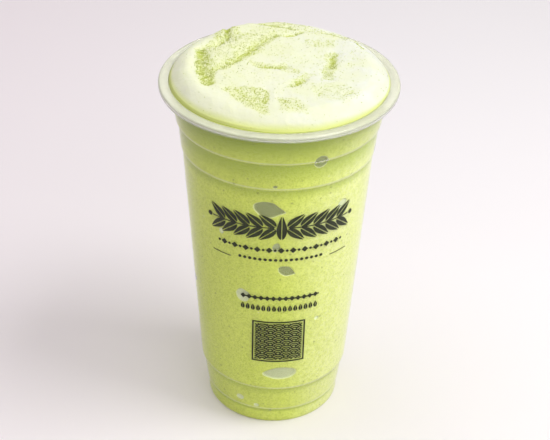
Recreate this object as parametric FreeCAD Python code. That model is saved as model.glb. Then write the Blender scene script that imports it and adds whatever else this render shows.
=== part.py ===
import FreeCAD, Part
import math
import os

from FreeCAD import Vector

# A takeaway cup of matcha frappe: a thin plastic cup, the blended drink that fills it to the brim,
# and a cap of milk foam that rises above the rim.
#
# Millimetres, +Z up. The origin lies on the cup's axis, on the surface that the cup stands on.
# The cup's wall is one thin sheet of even thickness, bent along a path from the middle of the base
# to the curled end of the lip. The drink follows the same path a little further in, and the foam
# sits in a shallow seat in the top of the drink.

# Cup: overall sizes
CUP_HEIGHT = 158.5
RIM_RADIUS = 49.0
FOOT_RADIUS = 29.3
WALL = 0.6
BEND = 0.4               # radius on the inside of a bend in the wall
TOE_BEND = 1.0           # the same, where the foot turns up into the wall
MOUTH_BEND = 0.8         # the same, where the collar turns out into the flange

# Cup: rim, from the mouth outwards
FLANGE_WIDTH = 4.5       # from the inside of the mouth to the outside of the rim
LIP_DROP = 2.8           # how far the rim is turned down
LIP_CURL = 1.2           # how far the end of the lip curls back in

# Cup: the part that nests in the next cup, from the rim downwards
COLLAR_HEIGHT = 16.2     # from the rim to the upper ledge
COLLAR_FLARE = 2.7       # how much the collar widens on the way up
UPPER_LEDGE = 0.9        # step inwards under the collar
NECK_HEIGHT = 12.6       # from the upper ledge to the lower one
NECK_FLARE = 1.0
LOWER_LEDGE = 0.6        # step inwards under the neck

# Cup: foot, from the base upwards
KICK_UP = 3.2            # how high the middle of the base lies above the foot ring
FOOT_RING = 4.4          # width of the ring that the cup stands on
KICK_SLOPE = 1.6         # run of the slope from the foot ring to the raised base
HEEL_HEIGHT = 8.2
HEEL_FLARE = 0.4
HEEL_STEP = 0.4          # step outwards above the heel
GRIP_HEIGHT = 13.6       # the band above the heel
GRIP_FLARE = 1.6
GRIP_STEP = 0.9          # step outwards above that band
LEDGE_RISE = 0.7         # height over which a step of the wall is made

# Drink
FILL_GAP = 0.25          # from the wall to the drink
LEVEL_DROP = 0.8         # from the rim down to the drink's level

# Foam
SEAT_GAP = 0.2           # from the drink to the foam
EDGE_GAP_BACK = 0.7      # from the drink's brim to the foam's edge at the back
EDGE_GAP_FRONT = 2.1     # the same at the front
FOAM_EDGE = 0.9          # thickness of the foam at its edge, above the drink's level
FOAM_RISE = 5.0          # how far the dome rises from its edge
FOAM_SLOPE = 10.0        # width of the sloping border of the dome
FOAM_SINK = 3.5          # depth of the seat that the foam fills
SEAT_SLOPE = 9.0         # run of the seat's sloping side
SEAT_BEND = 12.0         # rounding between that side and the seat's flat floor
BACK_RISE = 3.8          # how high the foam stands at its edge where it is heaped up at the back
BACK_ROUND = 3.0         # rounding of that steep edge
BACK_LEAN = 60.0         # how far it leans in above the rounding, in degrees
FOAM_GRID = 44           # spans of the net that carries the top of the foam, each way

# Folds in the top of the foam: where each starts and ends, in shares of the foam's radius to the
# right and to the back of its centre, its half width, and its height (a crease is negative).
FOLDS = [
    ((-0.90, 0.45), (-0.84, -0.34), 4.2, 0.9),     # smooth roll along the left border
    ((-0.74, 0.44), (-0.68, -0.24), 3.0, -1.5),    # valley beside it, full of powder
    ((-0.50, 0.86), (-0.72, 0.48), 2.2, -1.3),     # crease from the back left edge
    ((-0.40, 0.62), (-0.56, 0.22), 4.5, 0.8),      # swelling between the two creases
    ((-0.66, 0.00), (-0.02, 0.82), 2.6, -1.2),     # long crease across the left half
    ((-0.20, 0.28), (0.16, 0.04), 2.6, -0.9),      # short crease near the middle
    ((0.10, -0.20), (0.24, -0.08), 2.4, -0.7),     # its continuation
    ((0.20, 0.34), (0.10, 0.62), 5.0, 0.9),        # swelling behind the middle
    ((0.52, 0.40), (0.42, -0.06), 2.8, -1.1),      # crease on the right
    ((0.60, 0.62), (0.80, 0.24), 4.0, 0.7),        # roll along the right border
    ((0.04, 0.80), (0.20, 0.90), 2.2, -1.0),       # crease near the back edge
    ((-0.20, 0.95), (0.05, 0.99), 3.2, 1.1),       # crest at the back edge
    ((-0.46, -0.26), (-0.10, -0.84), 3.4, -0.6),   # hollow in front, to the left
    ((0.06, -0.52), (0.62, -0.42), 7.0, 0.7),      # broad smooth swell in front
]


def wall_stations():
    """Corners of the cup's outer face, from the middle of the base to the end of the lip.

    Each is (radius, height, radius on the inside of the bend there).
    """
    base = [
        (0.0, KICK_UP, 0.0),
        (FOOT_RADIUS - FOOT_RING - KICK_SLOPE, KICK_UP, BEND),
        (FOOT_RADIUS - FOOT_RING, 0.0, BEND),
        (FOOT_RADIUS, 0.0, TOE_BEND),
    ]
    heel_radius = FOOT_RADIUS + HEEL_FLARE
    grip_foot = heel_radius + HEEL_STEP
    grip_radius = grip_foot + GRIP_FLARE
    grip_top = HEEL_HEIGHT + GRIP_HEIGHT
    foot = [
        (heel_radius, HEEL_HEIGHT - LEDGE_RISE, BEND),
        (grip_foot, HEEL_HEIGHT, BEND),
        (grip_radius, grip_top - LEDGE_RISE, BEND),
        (grip_radius + GRIP_STEP, grip_top, BEND),
    ]
    mouth_outside = mouth_radius() + WALL
    collar_foot = mouth_outside - COLLAR_FLARE
    neck_radius = collar_foot - UPPER_LEDGE
    neck_foot = neck_radius - NECK_FLARE
    upper_ledge = CUP_HEIGHT - COLLAR_HEIGHT
    lower_ledge = upper_ledge - NECK_HEIGHT
    nesting = [
        (neck_foot - LOWER_LEDGE, lower_ledge - LEDGE_RISE, BEND),
        (neck_foot, lower_ledge, BEND),
        (neck_radius, upper_ledge - LEDGE_RISE, BEND),
        (collar_foot, upper_ledge, BEND),
    ]
    rim = [
        (mouth_outside, CUP_HEIGHT - WALL, MOUTH_BEND),
        (RIM_RADIUS - WALL, CUP_HEIGHT - WALL, BEND),
        (RIM_RADIUS - WALL, CUP_HEIGHT - LIP_DROP + WALL, BEND),
        (RIM_RADIUS - WALL - LIP_CURL, CUP_HEIGHT - LIP_DROP + WALL, 0.0),
    ]
    return base + foot + nesting + rim


def mouth_radius():
    """Radius of the mouth, on the inside of the wall."""
    return RIM_RADIUS - FLANGE_WIDTH


def direction(start, end):
    """Unit vector from one station to the next, in the plane of the section."""
    length = math.hypot(end[0] - start[0], end[1] - start[1])
    return ((end[0] - start[0]) / length, (end[1] - start[1]) / length)


def offset_stations(stations, distance):
    """The stations moved to the left of the path, towards the inside of the cup.

    A bend keeps its centre, so its radius grows on one side of the sheet and shrinks on the other.
    """
    moved = []
    last = len(stations) - 1
    for index, (radius, height, bend) in enumerate(stations):
        before = direction(stations[max(index - 1, 0)], stations[max(index, 1)])
        after = direction(stations[min(index, last - 1)], stations[min(index + 1, last)])
        across = 1.0 + before[0] * after[0] + before[1] * after[1]
        left = (-(before[1] + after[1]) / across, (before[0] + after[0]) / across)
        turn = before[0] * after[1] - before[1] * after[0]
        inside = WALL + FILL_GAP - distance if turn > 0 else distance
        corner = bend + inside if bend > 0 else 0.0
        moved.append((radius + distance * left[0], height + distance * left[1], corner))
    return moved


def section_point(radius, height):
    """A point of the section, in the XZ plane."""
    return Vector(radius, 0.0, height)


def rounded_edges(stations):
    """Lines along the stations, joined by tangent arcs at those that have a bend."""
    edges = []
    start = section_point(stations[0][0], stations[0][1])
    for index in range(1, len(stations) - 1):
        radius, height, bend = stations[index]
        before = direction(stations[index - 1], stations[index])
        after = direction(stations[index], stations[index + 1])
        corner = section_point(radius, height)
        if bend == 0.0:
            edges.append(Part.LineSegment(start, corner).toShape())
            start = corner
            continue
        half_turn = math.acos(before[0] * after[0] + before[1] * after[1]) / 2.0
        reach = bend * math.tan(half_turn)
        arc_start = section_point(radius - reach * before[0], height - reach * before[1])
        arc_end = section_point(radius + reach * after[0], height + reach * after[1])
        to_centre = (arc_start + arc_end) * 0.5 - corner
        to_centre.normalize()
        middle = corner + to_centre * (bend / math.cos(half_turn) - bend)
        edges.append(Part.LineSegment(start, arc_start).toShape())
        edges.append(Part.Arc(arc_start, middle, arc_end).toShape())
        start = arc_end
    end = section_point(stations[-1][0], stations[-1][1])
    edges.append(Part.LineSegment(start, end).toShape())
    return edges


def revolved(edges):
    """A solid of revolution about the cup's axis, from the edges of a closed section."""
    wire = Part.Wire(Part.__sortEdges__(edges))
    face = Part.Face(wire)
    solid = face.revolve(Vector(0, 0, 0), Vector(0, 0, 1), 360)
    return solid.removeSplitter()


def straight(start, end):
    """A straight edge of the section between two of its points."""
    return Part.LineSegment(section_point(*start), section_point(*end)).toShape()


def make_cup():
    """The cup: a sheet of even thickness from the base to the curled lip."""
    outside = wall_stations()
    inside = offset_stations(outside, WALL)
    ends = [
        straight(outside[0][:2], inside[0][:2]),
        straight(outside[-1][:2], inside[-1][:2]),
    ]
    outer_face = offset_stations(outside, 0.0)
    return revolved(rounded_edges(outer_face) + rounded_edges(inside) + ends)


def filling_stations():
    """Corners of the filling's outer face, clear of the wall, from the base up to the brim."""
    to_mouth = len(wall_stations()) - 3
    bounds = offset_stations(wall_stations(), WALL + FILL_GAP)[:to_mouth]
    level = CUP_HEIGHT - LEVEL_DROP
    lower = bounds[-2]
    upper = bounds[-1]
    share = (level - lower[1]) / (upper[1] - lower[1])
    brim = (lower[0] + share * (upper[0] - lower[0]), level, 0.0)
    return bounds[:-1] + [brim]


def make_filling():
    """All that the cup holds up to the drink's level."""
    bounds = filling_stations()
    centre = (0.0, bounds[-1][1])
    closing = [straight(bounds[-1][:2], centre), straight(centre, bounds[0][:2])]
    return revolved(rounded_edges(bounds) + closing)


def foam_radius():
    """Radius of the foam's round outline."""
    brim = filling_stations()[-1]
    return brim[0] - (EDGE_GAP_BACK + EDGE_GAP_FRONT) / 2.0


def foam_shift():
    """How far the foam's centre lies behind the cup's axis."""
    return (EDGE_GAP_FRONT - EDGE_GAP_BACK) / 2.0


def fold_height(x, y, start, end, half_width, height):
    """Height that one fold adds at a place on the foam; x and y run from the foam's centre."""
    size = foam_radius()
    start_x, start_y = start[0] * size, start[1] * size
    run_x, run_y = end[0] * size - start_x, end[1] * size - start_y
    along = ((x - start_x) * run_x + (y - start_y) * run_y) / (run_x ** 2 + run_y ** 2)
    along = min(max(along, 0.0), 1.0)
    gap = math.hypot(x - start_x - along * run_x, y - start_y - along * run_y)
    return height * math.exp(-(gap / half_width) ** 2)


def foam_height(x, y):
    """Height of the foam's top above its edge: a folded dome, heaped up towards the back."""
    from_centre = math.hypot(x, y)
    border = (foam_radius() - from_centre) / FOAM_SLOPE
    slope = math.sin(math.pi / 2.0 * min(max(border, -1.0), 1.0))
    backwards = (1.0 + y / max(from_centre, 1.0)) / 2.0
    edge = BACK_RISE * backwards ** 4
    folds = sum(fold_height(x, y, *fold) for fold in FOLDS)
    return edge + slope * (FOAM_RISE - edge) + max(slope, 0.0) * folds


def foam_top():
    """The top of the foam as one smooth surface over a square a little larger than the foam."""
    reach = foam_radius() + 1.0
    step = 2.0 * reach / FOAM_GRID
    edge = CUP_HEIGHT - LEVEL_DROP + FOAM_EDGE
    net = []
    for row in range(FOAM_GRID + 1):
        y = row * step - reach
        places = [column * step - reach for column in range(FOAM_GRID + 1)]
        net.append([Vector(x, y + foam_shift(), edge + foam_height(x, y)) for x in places])
    surface = Part.BSplineSurface()
    surface.interpolate(net)
    return surface.toShape()


def foam_blank(grown):
    """A round blank with the foam's underside and its steepest edge, grown by a clearance."""
    radius = foam_radius() + grown
    brim = CUP_HEIGHT - LEVEL_DROP - grown
    corner = CUP_HEIGHT - LEVEL_DROP + FOAM_EDGE + BACK_RISE - BACK_ROUND / 5.0
    apex = corner + radius / math.tan(math.radians(BACK_LEAN))
    outline = [
        (0.0, brim - FOAM_SINK, 0.0),
        (radius - SEAT_SLOPE, brim - FOAM_SINK, SEAT_BEND),
        (radius, brim, 0.0),
        (radius, corner, BACK_ROUND),
        (0.0, apex, 0.0),
    ]
    axis = straight((0.0, apex), (0.0, brim - FOAM_SINK))
    blank = revolved(rounded_edges(outline) + [axis])
    blank.translate(Vector(0, foam_shift(), 0))
    return blank


def make_foam():
    """The foam: everything of its blank that lies under the folded top."""
    below = foam_top().extrude(Vector(0, 0, -2.0 * (FOAM_RISE + FOAM_SINK + FOAM_EDGE)))
    return only_solid(foam_blank(0.0).common(Part.Solid(below)))


def make_drink():
    """The drink: the cup's filling with a seat for the foam in its top."""
    return only_solid(make_filling().cut(foam_blank(SEAT_GAP)))


def only_solid(shape):
    """The one solid of a boolean's result; more or fewer is a fault of the sizes."""
    if len(shape.Solids) != 1:
        raise ValueError("expected one solid, found %d" % len(shape.Solids))
    return shape.Solids[0]


def main():
    os.makedirs("parts", exist_ok=True)
    make_cup().exportStep("parts/cup.step")
    make_drink().exportStep("parts/drink.step")
    make_foam().exportStep("parts/foam.step")


main()
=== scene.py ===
import math
import random

import bmesh
import bpy
from mathutils import Euler, Matrix, Vector


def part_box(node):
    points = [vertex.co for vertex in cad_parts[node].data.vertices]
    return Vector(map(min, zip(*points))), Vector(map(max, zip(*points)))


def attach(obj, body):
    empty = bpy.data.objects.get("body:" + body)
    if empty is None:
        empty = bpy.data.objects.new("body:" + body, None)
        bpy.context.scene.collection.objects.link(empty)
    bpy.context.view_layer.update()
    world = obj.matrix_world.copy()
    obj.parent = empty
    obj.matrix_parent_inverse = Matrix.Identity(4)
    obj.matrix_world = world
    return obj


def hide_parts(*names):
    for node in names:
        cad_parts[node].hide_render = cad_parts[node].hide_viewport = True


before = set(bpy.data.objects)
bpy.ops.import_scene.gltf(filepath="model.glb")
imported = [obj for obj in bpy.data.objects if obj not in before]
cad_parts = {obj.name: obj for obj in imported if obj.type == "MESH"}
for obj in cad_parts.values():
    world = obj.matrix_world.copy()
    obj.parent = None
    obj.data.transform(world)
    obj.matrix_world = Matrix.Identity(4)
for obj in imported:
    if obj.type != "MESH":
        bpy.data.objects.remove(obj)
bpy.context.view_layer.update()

bl_info = {
    "name": "Matcha frappe",
    "version": (1, 0, 0),
    "blender": (4, 5, 0),
    "location": "View3D > Sidebar > Frappe",
    "description": "Finishes a takeaway cup of matcha frappe, with its drink, foam and print",
    "category": "Object",
}

MM = 0.001
RIM_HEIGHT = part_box("cup")[1].z
RIM_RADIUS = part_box("cup")[1].x
BRIM_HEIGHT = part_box("drink")[1].z

# How the solids of the cup and the drink lie to each other.
WALL = 0.6 * MM
FILL_GAP = 0.25 * MM
INTO_WALL = 0.15 * MM

# The height over which the wall turns out into the flange, where the plastic is thick.
FLANGE_START = 0.944 * RIM_HEIGHT
FLANGE_END = 0.955 * RIM_HEIGHT

# How finely the round pieces are divided, and how many there are of the small things.
CUP_TURNS = 240
FOAM_TURNS = 400
FOAM_RINGS = 84
SIDE_POCKETS = 9
COARSE_GRAINS = 6800

# The ledges round the cup, in millimetres: lower and upper height, how far the shade under each
# reaches down, and how dark it is.
LEDGES = (
    (141.5, 142.8, 11.0, 0.66),
    (128.9, 130.1, 5.0, 0.55),
    (21.1, 22.3, 4.0, 0.42),
    (7.5, 8.4, 1.8, 0.75),
)

# Relief and powder of the foam. Each crease or roll is a path over the foam, in millimetres to the
# right of the cup's axis and towards the back, with its half width and height (a crease is
# negative), and then the half width and amount of the powder that lies along it.
FOAM_PATHS = [
    # smooth roll along the left border
    ([(-33.5, 24), (-38.5, 12), (-38, -6), (-34, -18)], 4, 1, 0, 0),
    # valley beside the roll, full of powder
    ([(-32.5, 14), (-32, 5), (-31, -3)], 2.6, -1.5, 2.3, 0.95),
    ([(-31, -3), (-29.5, -9), (-28.5, -13.5)], 3, -1, 2.9, 1),
    # sharp crease from the back left edge, and its faint end
    ([(-22.5, 36.5), (-21.5, 30.5), (-23.5, 24.5)], 1.3, -1.7, 1.3, 1),
    ([(-23.5, 24.5), (-26.5, 18.5)], 1.2, -1.4, 0.9, 0.8),
    ([(-26.5, 18.5), (-30.5, 17.5), (-32.5, 14)], 1.2, -0.8, 0.9, 0.5),
    # long crease from the left valley up to the back
    ([(-29, -7), (-23, 1), (-19, 5.5)], 1.7, -0.8, 1.4, 0.7),
    ([(-19, 5.5), (-14.5, 11.5), (-10.5, 18)], 1.9, -1, 1.8, 0.85),
    ([(-10.5, 18), (-7, 23.5), (-2, 29.5)], 2, -0.9, 1.6, 0.7),
    # swelling between those creases, and a faint band on it
    ([(-27, 8), (-20, 17), (-14, 25)], 4.6, 0.9, 0, 0),
    ([(-18, 29.5), (-10.5, 28.5)], 1.6, -0.3, 1.3, 0.45),
    # crease along the back edge, and the lobe behind it
    ([(-10, 41), (-4.5, 39.5), (0, 37.5), (5, 36)], 1.1, -1.3, 1, 1),
    ([(-2, 42), (7, 40.5), (12, 39)], 2.2, 0.8, 1.6, 0.4),
    ([(2, 28.8), (5.3, 30), (9, 33.5)], 1.2, -1.1, 0.9, 0.9),
    # shoulder at the back left, and the lower edge at the back right
    ([(-25, 34), (-13, 40)], 4.5, 1.1, 0, 0),
    ([(6, 41.5), (20, 36)], 4, -0.8, 0, 0),
    # swellings behind the middle
    ([(-8, 33), (-1, 34.5)], 3, 0.7, 0, 0),
    ([(-2, 19), (6, 12)], 7, 0.8, 0, 0),
    ([(12, 22.8), (20.5, 22.3)], 1.8, -0.3, 1.5, 0.35),
    # short creases near the middle
    ([(-11.5, 4.3), (-9.5, 2.5)], 1.4, -0.4, 1, 0.55),
    ([(-8, 1), (-5, 0.3), (2, 1.2)], 1.5, -0.9, 1.1, 0.95),
    ([(2, 1.2), (7, -4)], 1.5, -0.6, 1.3, 0.35),
    ([(4.5, -15), (7.5, -12.8)], 1.4, -0.7, 1.1, 0.6),
    ([(7.5, -12.8), (10, -9.5)], 1.6, -0.9, 1.3, 1),
    ([(10, -9.5), (12.5, -5.5)], 1.6, -0.4, 1.3, 0.4),
    # crease on the right
    ([(22.3, 13), (21.3, 7.5), (20.5, 3)], 2, -1.2, 1.7, 0.95),
    ([(20.5, 3), (18.8, -2.5), (19.5, -8)], 2, -0.7, 1.5, 0.45),
    # roll and creases along the right and back right border
    ([(30, 22), (36, 8), (36.5, -6)], 4.5, 0.6, 0, 0),
    ([(19, 35), (25.5, 30.5)], 1.1, -0.8, 0.9, 0.7),
    ([(30.5, 26.5), (35, 20.5)], 1.2, -0.7, 0.9, 0.6),
    ([(12, 36), (18, 34)], 1.6, -0.5, 1.4, 0.3),
    # dusted hollows in front
    ([(-20, -19.5), (-14, -22), (-9.5, -25)], 3.4, -0.5, 2.6, 0.5),
    ([(-15.5, -26), (-11, -30)], 3, -0.4, 2.4, 0.55),
    ([(-5.5, -20), (-5.3, -27), (-5.8, -34.5)], 2.4, -0.5, 1.5, 0.75),
    ([(2.6, -28.5), (5, -31)], 2.2, -0.4, 1.9, 0.6),
    ([(6.5, -30), (9.5, -32.5)], 2.6, -0.2, 2.2, 0.25),
    ([(15.3, -19.5), (16, -23)], 1.6, -0.3, 1.1, 0.4),
    ([(26.5, -21), (29, -18.5)], 1.8, -0.4, 1.2, 0.5),
    ([(21.5, -25.5), (24, -25.5)], 1.5, -0.2, 0.9, 0.35),
    # broad smooth swell in front
    ([(4, -37), (24, -27)], 7, 0.6, 0, 0),
    ([(-30, -24), (-22, -32)], 5, 0.5, 0, 0),
]

# Dusted patches of the foam: outline in millimetres, width of its soft border, amount of powder.
FOAM_AREAS = [
    ([(-34.5, 15.5), (-30.5, 16), (-29.5, 8), (-28.5, 2), (-25.5, -4), (-27.5, -14.5),
      (-30.5, -11.5), (-33.5, 0)], 1, 0.72),
    ([(-31, 16), (-24, 22), (-18, 27), (-9, 23), (-14, 13), (-20, 4),
      (-27, -4), (-29.5, 4)], 2, 0.34),
    ([(-26, 35), (-20, 38), (-17.5, 31), (-20.5, 24), (-26, 19), (-31, 17.5),
      (-27, 23)], 1.5, 0.46),
    ([(-25, -1), (-19.5, 9), (-13.5, 17.5), (-8.5, 26), (-2, 31.5), (0.5, 29),
      (-5, 22), (-9.5, 13), (-15, 6), (-22, -2.5)], 1.5, 0.50),
    ([(-17, 27), (-10, 35), (0, 36), (6, 31), (-3, 27), (-9, 24)], 2.5, 0.26),
    ([(-20.5, -17), (-6.8, -18.3), (-4.6, -22), (-4.4, -37.5), (-8.3, -36), (-12, -33.5),
      (-18, -24)], 1.2, 0.52),
    ([(-14, -24), (-6, -26), (-4.8, -35.5), (-9, -34)], 1.2, 0.62),
    ([(0.5, -26.5), (6.5, -26.5), (10, -36), (1.5, -36)], 2, 0.36),
    ([(19.2, 14), (23.2, 13), (22.8, 4), (21, -9), (17.3, -8.5), (18.5, 2)], 1.3, 0.50),
    ([(3, -16.5), (8, -15), (13.5, -5), (10, -4.5), (6.5, -11)], 1.2, 0.42),
    ([(-11.5, 5.5), (-5, 2.2), (2, 3.2), (8, -3.5), (4, -4), (0, -1.2), (-6, -1.2),
      (-11, 2)], 1, 0.40),
    ([(-8, 14), (2, 21), (6, 15), (-3, 8)], 3, 0.16),
    ([(13, -16), (17, -25), (26, -27), (31, -18), (22, -13)], 3, 0.24),
    ([(11, 25), (22, 25), (22, 19.5), (12, 19.5)], 2, 0.30),
    ([(4, 38.5), (14, 38.5), (24, 34), (32, 27.5), (27, 25.5), (16, 31.5), (5, 32.5)],
     2, 0.30),
    ([(-12, 41.5), (-4, 42.5), (8, 39), (5, 35), (-4, 37.5)], 1.5, 0.42),
    ([(22, 8), (30, 14), (34, 2), (24, -4)], 3, 0.13),
    ([(-28, 22), (-18, 36), (14, 37), (33, 18), (30, -12), (10, -22),
      (-22, -16)], 5, 0.09),
]

# Air pockets at the wall: bearing from the front in degrees (to the right), height above the foot,
# half width and half height in millimetres, tilt in degrees, how pointed the right end is (a
# negative value points the left end), and how pale it looks.
POCKETS = [
    (-4, 119.6, 6.4, 3.7, -10, 0.6, 0),
    (24, 142.3, 2.8, 3, 0, 0, 0),
    (7.5, 88.4, 3.7, 2.4, -24, 0.6, 0),
    (5, 31.2, 7.2, 3.3, 3, -0.3, 0.6),
    (-21.5, 73.6, 3.1, 3.3, 20, 0.3, 0.9),
    (0.5, 100.8, 1.6, 2.2, -20, 0.4, 0.3),
    (43, 117, 2.4, 1.8, 30, 0, 0.9),
    (-28, 12.6, 1.7, 1.5, 0, 0, 1),
    (-13.5, 9.9, 1.1, 1, 0, 0, 1),
    (-36, 104, 1, 1.3, 0, 0, 1),
    (31, 60, 0.9, 0.8, 0, 0, 1),
    (-1.6, 7.4, 0.7, 0.5, 0, 0, -0.6),
    (-1, 131.4, 0.9, 0.6, 0, 0, -0.6),
]


def material_colour(name, description, value):
    """A colour property of the panel, in linear values."""
    return bpy.props.FloatVectorProperty(
        name=name, description=description, subtype="COLOR", size=3, min=0.0, max=1.0, default=value
    )


def length_property(name, description, millimetres):
    """A length property of the panel, given in millimetres and kept in metres."""
    return bpy.props.FloatProperty(
        name=name, description=description, default=millimetres * MM, unit="LENGTH"
    )


class FrappeSizes(bpy.types.PropertyGroup):
    """Sizes that a user would change."""

    foam_rise: length_property("Foam rise", "Height of the foam's plateau above its edge", 5.0)
    foam_slope: length_property("Foam slope", "Width of the sloping border of the foam", 9.0)
    back_rise: length_property("Back rise", "Height of the foam's steep edge at the back", 3.6)
    foam_level: length_property("Foam level", "Height of the foam's edge above the brim", 0.55)
    powder_grain: length_property("Powder grain", "Width of a coarse grain of powder", 0.34)
    print_width: length_property("Print width", "Width of the ornament round the front", 62.0)
    print_height: length_property("Print height", "Height of the row of leaves", 12.5)
    ink_thickness: length_property("Ink thickness", "Thickness of the printed ink", 0.04)


class FrappeColours(bpy.types.PropertyGroup):
    """Colours that a user would change."""

    drink: material_colour("Drink", "The blended drink", (0.73, 0.84, 0.085))
    drink_pale: material_colour("Pale streaks", "Milkier streaks in the drink", (0.83, 0.89, 0.20))
    # Painted sheen: the pale colour given to the drink's right side, where the wall would reflect
    # the bright room.
    milk: material_colour("Milk", "Where more milk shows at the wall", (0.86, 0.86, 0.58))
    pocket: material_colour("Air pocket", "Drink seen through an air pocket", (0.265, 0.305, 0.06))
    pocket_pale: material_colour("Frothy pocket", "Froth in a pale pocket", (0.80, 0.85, 0.52))
    foam: material_colour("Foam", "The milk foam", (0.848, 0.866, 0.665))
    foam_edge: material_colour("Foam edge", "Thin foam that meets the drink", (0.76, 0.83, 0.25))
    powder: material_colour("Powder", "Green tea powder", (0.50, 0.58, 0.055))
    ink: material_colour("Ink", "The printed ornament", (0.020, 0.026, 0.009))
    plastic: material_colour("Plastic", "The clear cup", (0.965, 0.98, 0.955))
    frost: material_colour("Frost", "Milky plastic of the rim", (0.83, 0.835, 0.66))
    floor: material_colour("Floor", "The pale table", (0.985, 0.95, 0.97))


# ---------------------------------------------------------------- shapes


def mesh_object(name, mesh_builder, smooth=True):
    """A new object at the origin whose mesh holds what a bmesh builder leaves."""
    mesh = bpy.data.meshes.new(name)
    mesh_builder.to_mesh(mesh)
    mesh_builder.free()
    if smooth:
        mesh.shade_smooth()
    else:
        mesh.shade_flat()
    piece = bpy.data.objects.new(name, mesh)
    bpy.context.scene.collection.objects.link(piece)
    return piece


def finish_piece(piece, material, replaced=None):
    """Gives a piece its material and its place in the frame."""
    piece.data.materials.clear()
    piece.data.materials.append(material)
    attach(piece, "root")
    if replaced:
        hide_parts(replaced)


def smooth_step(low, high, value):
    """Rises from 0 at low to 1 at high without a corner; low may be the larger one."""
    share = min(max((value - low) / (high - low), 0.0), 1.0)
    return share * share * (3.0 - 2.0 * share)


def wave_noise(x, y, seed, octaves=3):
    """A cheap smooth noise from turned waves, between about -1 and 1."""
    total = 0.0
    weight = 1.0
    reach = 0.0
    for octave in range(octaves):
        angle = seed * 1.7 + octave * 2.3
        along = x * math.cos(angle) + y * math.sin(angle)
        across = y * math.cos(angle) - x * math.sin(angle)
        wave = math.sin(along + 1.3 * math.sin(across * 0.7 + seed) + octave)
        total += weight * wave * math.cos(across * 0.9 + seed * 3.1)
        reach += weight
        weight *= 0.55
        x *= 1.9
        y *= 1.9
    return total / reach


def drink_section(reach):
    """The drink's section from the axis of its underside up to its brim, moved outwards by reach.

    The points (radius, height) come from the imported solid, which is a body of revolution there.
    """
    brim_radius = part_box("drink")[1].x - 0.05 * MM
    brim_height = BRIM_HEIGHT - 0.01 * MM
    wall_top = RIM_HEIGHT - 9.0 * MM
    shortest = 0.3 * MM
    found = set()
    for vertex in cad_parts["drink"].data.vertices:
        radius = math.hypot(vertex.co.x, vertex.co.y)
        at_brim = vertex.co.z > brim_height and radius > brim_radius
        if vertex.co.z < wall_top or at_brim:
            found.add((round(radius, 5), round(vertex.co.z, 5)))
    chain = [(0.0, min(found)[1])]
    while found:
        last = chain[-1]
        nearest = min(found, key=lambda point: math.dist(point, last))
        found.remove(nearest)
        if math.dist(nearest, last) > shortest:
            chain.append(nearest)
    return offset_section(chain, reach)


def on_wall(bearing, radius, height):
    """The place at a bearing from the front, in radians, a distance from the axis and a height."""
    return Vector((radius * math.sin(bearing), -radius * math.cos(bearing), height))


def offset_section(chain, reach):
    """A section moved to its right, which is outwards, with its first point kept on the axis."""
    moved = []
    last = len(chain) - 1
    for index, (radius, height) in enumerate(chain):
        before = chain[max(index - 1, 0)]
        after = chain[min(index + 1, last)]
        run = Vector((after[0] - before[0], after[1] - before[1])).normalized()
        moved.append((max(radius + reach * run.y, 0.0), height - reach * run.x))
    return [(0.0, moved[0][1])] + moved[1:]


def divided(section, longest):
    """The section with its long runs divided into equal spans."""
    points = [section[0]]
    for start, end in zip(section, section[1:]):
        spans = max(1, math.ceil(math.dist(start, end) / longest))
        for step in range(1, spans + 1):
            share = step / spans
            points.append(tuple(low + share * (high - low) for low, high in zip(start, end)))
    return points


def everything(builder):
    """All points, edges and faces that a builder holds."""
    return builder.verts[:] + builder.edges[:] + builder.faces[:]


def value_layers(builder, *names):
    """New layers, each of which stores one value on every point."""
    return [builder.verts.layers.float.new(name) for name in names]


def by_place(vertices):
    """Points in an order that is the same in every run, which a mesh's own order isn't."""
    return sorted(vertices, key=lambda vertex: tuple(vertex.co))


def outwards(builder):
    """Turns all the faces of a builder outwards."""
    bmesh.ops.recalc_face_normals(builder, faces=builder.faces)
    return builder


def spun(section, turns):
    """A closed bmesh: the section spun once round the Z axis."""
    builder = bmesh.new()
    line = [builder.verts.new((radius, 0.0, height)) for radius, height in section]
    edges = [builder.edges.new(pair) for pair in zip(line, line[1:])]
    bmesh.ops.spin(
        builder, geom=line + edges, cent=(0, 0, 0), axis=(0, 0, 1), dvec=(0, 0, 0),
        angle=math.tau, steps=turns, use_merge=True, use_normal_flip=False, use_duplicate=False,
    )
    bmesh.ops.remove_doubles(builder, verts=builder.verts, dist=0.01 * MM)
    return outwards(builder)


def copied(builder, count):
    """Copies the one shape that a builder holds until there are count of it; gives their points."""
    size = len(builder.verts)
    while len(builder.verts) < size * count:
        bmesh.ops.duplicate(builder, geom=everything(builder))
    builder.verts.ensure_lookup_table()
    bmesh.ops.delete(builder, geom=builder.verts[size * count:], context="VERTS")
    builder.verts.ensure_lookup_table()
    return [builder.verts[size * index:size * (index + 1)] for index in range(count)]


def path_distance(x, y, path, reach):
    """Distance in millimetres from a place to a path of straight runs, or infinity beyond reach."""
    nearest = math.inf
    if not min(p[0] for p in path) - reach < x < max(p[0] for p in path) + reach:
        return nearest
    if not min(p[1] for p in path) - reach < y < max(p[1] for p in path) + reach:
        return nearest
    for start, end in zip(path, path[1:]):
        run_x, run_y = end[0] - start[0], end[1] - start[1]
        along = ((x - start[0]) * run_x + (y - start[1]) * run_y) / (run_x ** 2 + run_y ** 2)
        along = min(max(along, 0.0), 1.0)
        gap = math.hypot(x - start[0] - along * run_x, y - start[1] - along * run_y)
        nearest = min(nearest, gap)
    return nearest


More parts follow.
